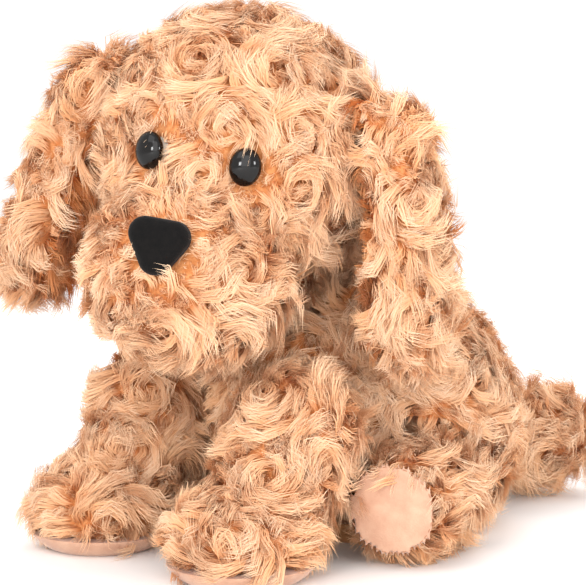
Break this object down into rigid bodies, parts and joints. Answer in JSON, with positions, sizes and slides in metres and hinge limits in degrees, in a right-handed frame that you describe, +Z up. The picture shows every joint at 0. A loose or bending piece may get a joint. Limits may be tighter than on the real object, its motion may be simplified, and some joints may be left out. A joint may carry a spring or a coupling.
{
  "type": "plush dog",
  "caption": "Seated plush dog with swirled pile, hanging ears, round muzzle, suede soles and a turning head, soft legs and tail.",
  "frame": {"origin": "on the flat of the seat, on the floor under the middle of the toy", "axes": "+Z up, -Y the way the body faces, +X to the dog's left"},
  "size_m": [0.2363, 0.3674, 0.2815],
  "materials": {
    "plush": "long swirled pile, soft and matt",
    "ear_lining": "long pile, darker, lying flat",
    "suede": "fine suede-like napped cloth",
    "seat_fabric": "short smooth pile",
    "filling": "loose polyester fibre",
    "pouch_cloth": "plain woven cotton",
    "pellets": "small round pellets, packed",
    "label": "blank satin ribbon",
    "nose_velvet": "black velvet",
    "eye_plastic": "polished black",
    "washer_plastic": "moulded, natural"
  },
  "bodies": {
    "torso": {"torso_cover": "plush", "torso_filling": "filling", "seat_panel": "seat_fabric", "pellet_pouch": "pouch_cloth", "pellet_fill": "pellets", "care_label": "label"},
    "neck": {"neck_cover": "plush", "neck_filling": "filling"},
    "head": {"head_cover": "plush", "head_filling": "filling", "muzzle_cover": "plush", "muzzle_filling": "filling", "nose_pad": "nose_velvet", "eye_left": "eye_plastic", "eye_right": "eye_plastic", "eye_washer_left": "washer_plastic", "eye_washer_right": "washer_plastic"},
    "ear_left": {"ear_left_plush": "plush", "ear_left_lining": "ear_lining"},
    "front_leg_left": {"front_leg_left_cover": "plush", "front_leg_left_filling": "filling", "front_leg_left_sole": "suede"},
    "hind_leg_left": {"hind_leg_left_cover": "plush", "hind_leg_left_filling": "filling", "hind_leg_left_sole": "suede"},
    "ear_right": {"ear_right_plush": "plush", "ear_right_lining": "ear_lining"},
    "front_leg_right": {"front_leg_right_cover": "plush", "front_leg_right_filling": "filling", "front_leg_right_sole": "suede"},
    "hind_leg_right": {"hind_leg_right_cover": "plush", "hind_leg_right_filling": "filling", "hind_leg_right_sole": "suede"},
    "tail": {"tail_cover": "plush", "tail_filling": "filling"}
  },
  "joints": [
    {"name": "head_turn", "type": "hinge", "parent": "torso", "child": "neck", "pos_m": [0, -0.072, 0.15], "axis": [0, 0, 1], "range_deg": [-60, 0]},
    {"name": "head_nod", "type": "hinge", "parent": "neck", "child": "head", "pos_m": [0, -0.072, 0.15], "axis": [0.866, 0.5, 0], "range_deg": [-12, 0]},
    {"name": "ear_left_lift", "type": "hinge", "parent": "head", "child": "ear_left", "pos_m": [0.07641, -0.05664, 0.23219], "axis": [0.4831, -0.8695, -0.1032], "range_deg": [0, 100]},
    {"name": "front_leg_left_spread", "type": "hinge", "parent": "torso", "child": "front_leg_left", "pos_m": [0.054, -0.089, 0.07], "axis": [0, -1, 0], "range_deg": [0, 35]},
    {"name": "hind_leg_left_swing", "type": "hinge", "parent": "torso", "child": "hind_leg_left", "pos_m": [0.073, -0.015, 0.031], "axis": [0, 0, 1], "range_deg": [0, 40]},
    {"name": "ear_right_lift", "type": "hinge", "parent": "head", "child": "ear_right", "pos_m": [-0.04163, -0.12479, 0.25378], "axis": [-0.4831, 0.8695, 0.1032], "range_deg": [0, 100]},
    {"name": "front_leg_right_spread", "type": "hinge", "parent": "torso", "child": "front_leg_right", "pos_m": [-0.054, -0.089, 0.07], "axis": [0, 1, 0], "range_deg": [0, 35]},
    {"name": "hind_leg_right_swing", "type": "hinge", "parent": "torso", "child": "hind_leg_right", "pos_m": [-0.073, -0.015, 0.031], "axis": [0, 0, -1], "range_deg": [0, 40]},
    {"name": "tail_wag", "type": "hinge", "parent": "torso", "child": "tail", "pos_m": [0, 0.112, 0.036], "axis": [0, 0, 1], "range_deg": [-8, 52]}
  ]
}
